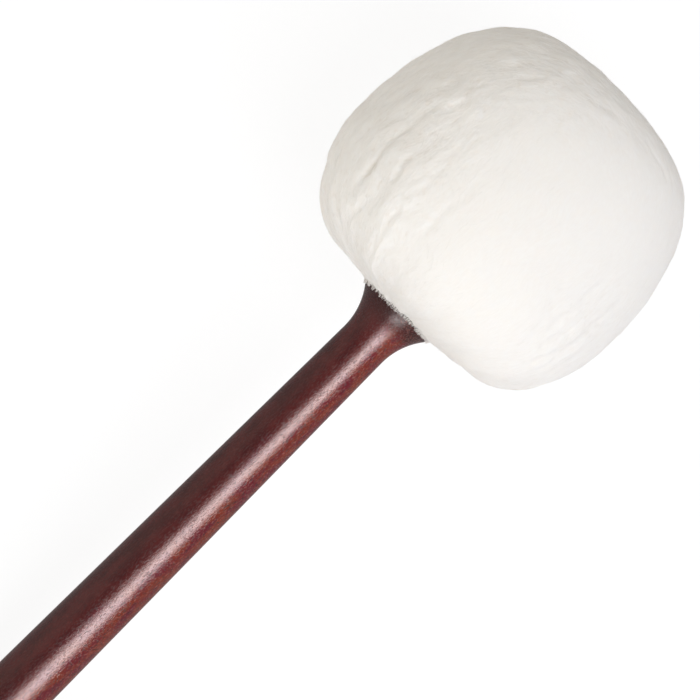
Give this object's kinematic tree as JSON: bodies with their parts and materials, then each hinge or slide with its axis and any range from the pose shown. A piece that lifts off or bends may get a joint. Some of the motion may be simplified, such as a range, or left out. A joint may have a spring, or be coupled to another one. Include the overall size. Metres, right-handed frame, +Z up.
{
  "type": "bass drum mallet",
  "caption": "Bass drum mallet: a turned, stained wooden handle that flares out under a large barrel-shaped head of padded wool fleece on a wooden core.",
  "frame": {"origin": "on the table, under the middle of the mallet's length, as it lies on the side of its head and on its butt", "axes": "+X from the butt of the handle towards the crown of the head, +Z up; the mallet's own axis rises by about 7.5 degrees towards the head"},
  "size_m": [0.3634, 0.102, 0.1016],
  "materials": {
    "stained_wood": "satin",
    "core_wood": "matte",
    "steel": "satin",
    "hard_felt": "matte",
    "soft_wool": "matte",
    "fleece": "matte",
    "waxed_thread": "matte"
  },
  "bodies": {
    "root": {"handle": "stained_wood", "core": "core_wood", "core_washer": "steel", "core_screw": "steel", "rear_felt_pad": "hard_felt", "front_felt_pad": "hard_felt", "wound_felt_strip": "hard_felt", "wool_batting": "soft_wool", "fleece_cover": "fleece", "hem_thread": "waxed_thread"}
  },
  "joints": []
}
